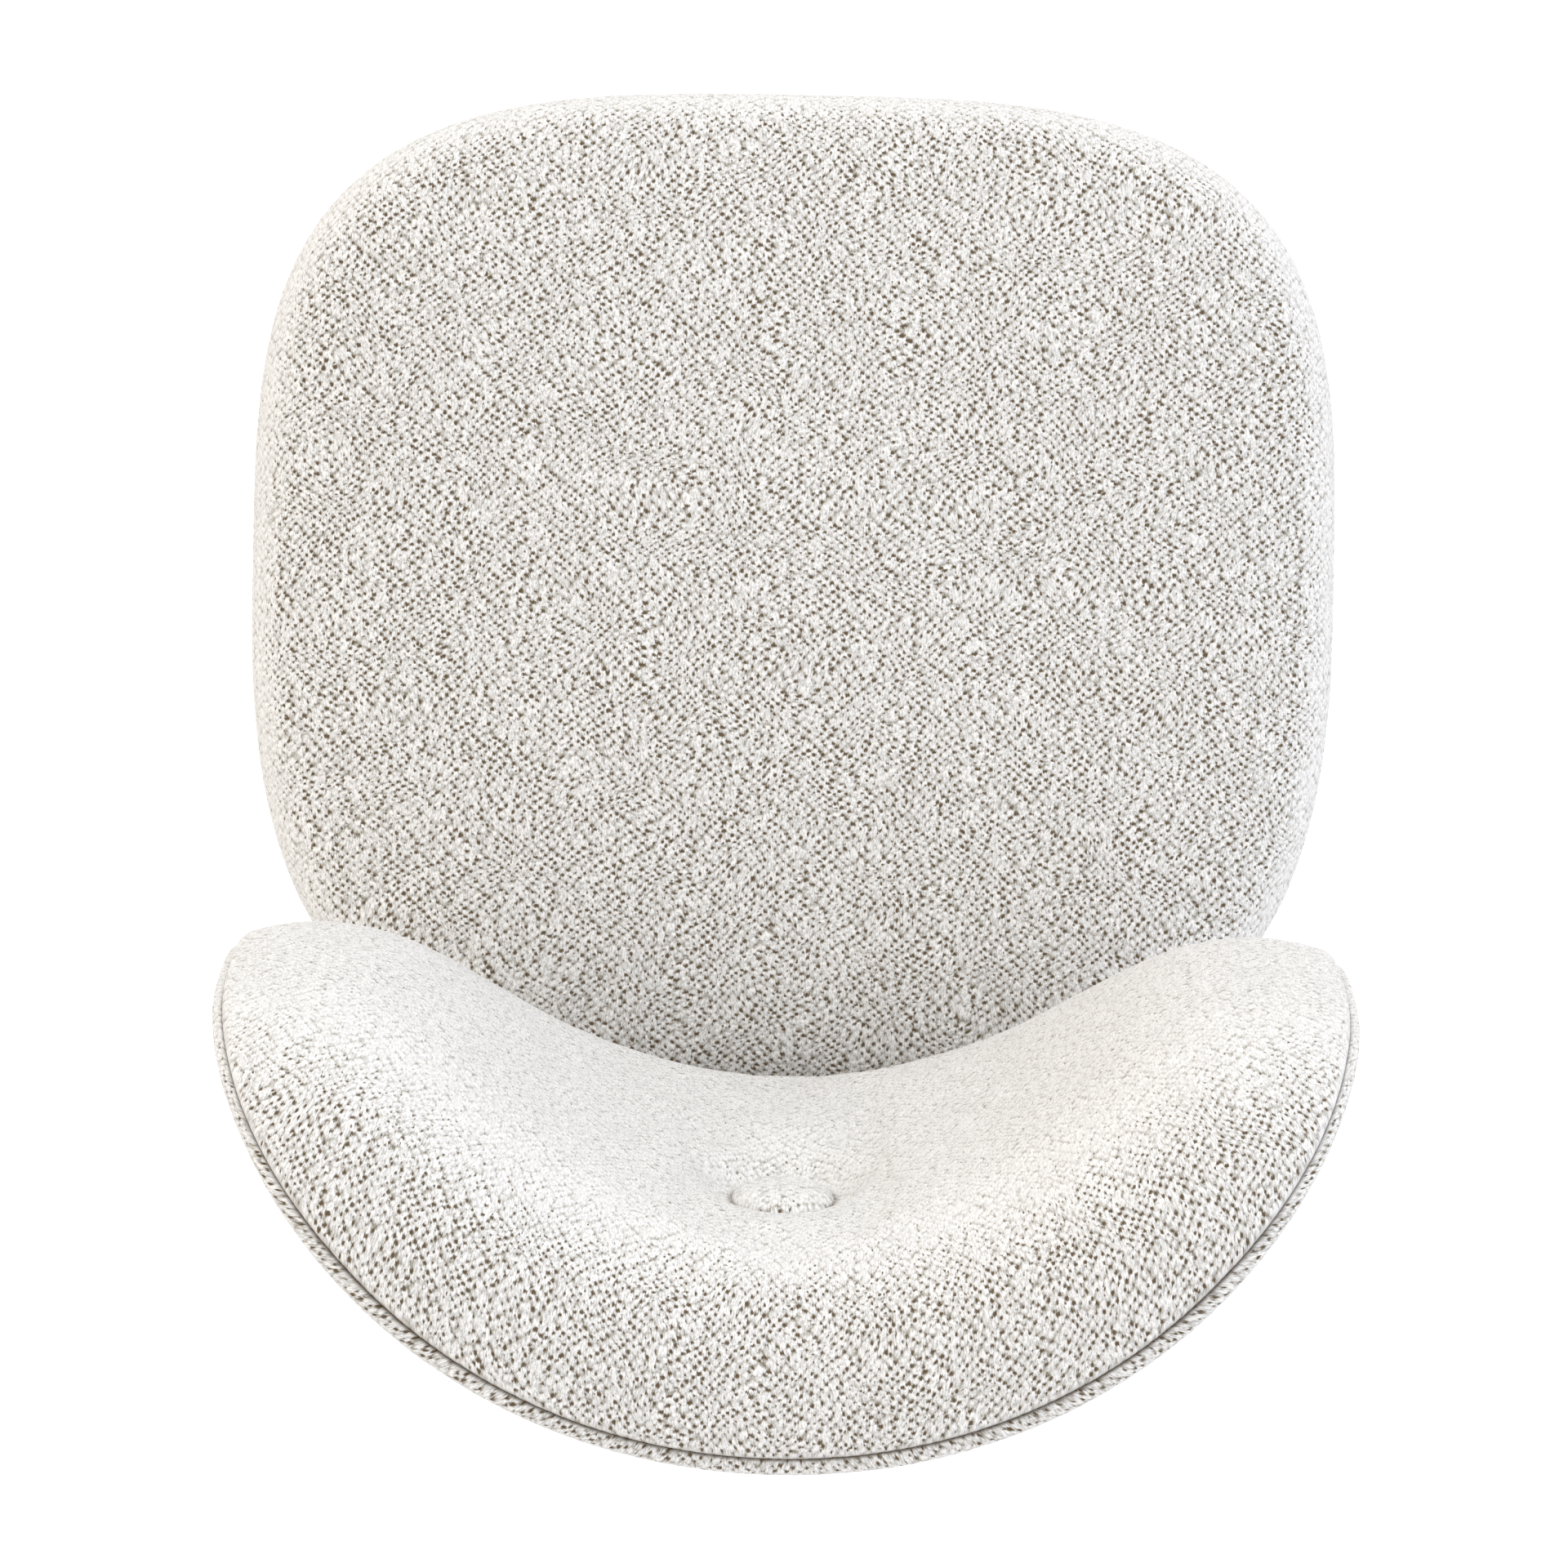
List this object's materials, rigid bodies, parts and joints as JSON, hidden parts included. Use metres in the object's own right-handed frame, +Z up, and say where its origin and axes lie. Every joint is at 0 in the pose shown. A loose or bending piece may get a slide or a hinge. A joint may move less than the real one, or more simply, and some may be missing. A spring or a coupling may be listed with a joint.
{
  "type": "upholstered chair seat and back",
  "caption": "Rounded-square upholstered seat pad with a thick wrap-round buttoned back pad on bent plywood, bolts onto a base from below",
  "frame": {"origin": "centre of the base bolt pattern, on the underside of the seat", "axes": "+Z up, -Y towards the front of the seat, X across the seat, which is symmetric left to right"},
  "size_m": [0.5, 0.6024, 0.3919],
  "materials": {
    "looped_fabric": "off-white looped boucle",
    "birch_plywood": "unfinished birch plywood",
    "panel_board": "bent fibreboard",
    "foam": "open-cell foam",
    "wadding": "polyester wadding",
    "dust_fabric": "spun-bonded dust cover cloth",
    "twine": "waxed tufting twine",
    "nylon": "moulded nylon",
    "staple_wire": "galvanised staple wire",
    "bracket_steel": "zinc-plated pressed steel",
    "zinc_steel": "zinc-plated steel"
  },
  "bodies": {
    "root": {"seat_board": "birch_plywood", "base_tee_nuts": "zinc_steel", "bracket_tee_nuts": "zinc_steel", "seat_foam_base": "foam", "seat_foam_top": "foam", "seat_wadding": "wadding", "seat_cover": "looped_fabric", "seat_cover_staples": "staple_wire", "seat_dust_cover": "dust_fabric", "dust_cover_staples": "staple_wire", "back_shell": "birch_plywood", "back_foam": "foam", "back_wadding": "wadding", "back_cover": "looped_fabric", "back_cover_staples": "staple_wire", "tongue_cover": "looped_fabric", "outer_panel_board": "panel_board", "outer_panel_wadding": "wadding", "outer_panel_cover": "looped_fabric", "outer_panel_border": "looped_fabric", "panel_clips": "nylon", "left_bracket": "bracket_steel", "right_bracket": "bracket_steel", "bracket_seat_bolts": "zinc_steel", "bracket_back_bolts": "zinc_steel", "bracket_back_washers": "zinc_steel", "bracket_nuts": "zinc_steel", "button_cap": "zinc_steel", "button_cover": "looped_fabric", "button_plug": "nylon", "tufting_twine": "twine", "twine_washer": "zinc_steel"}
  },
  "joints": []
}
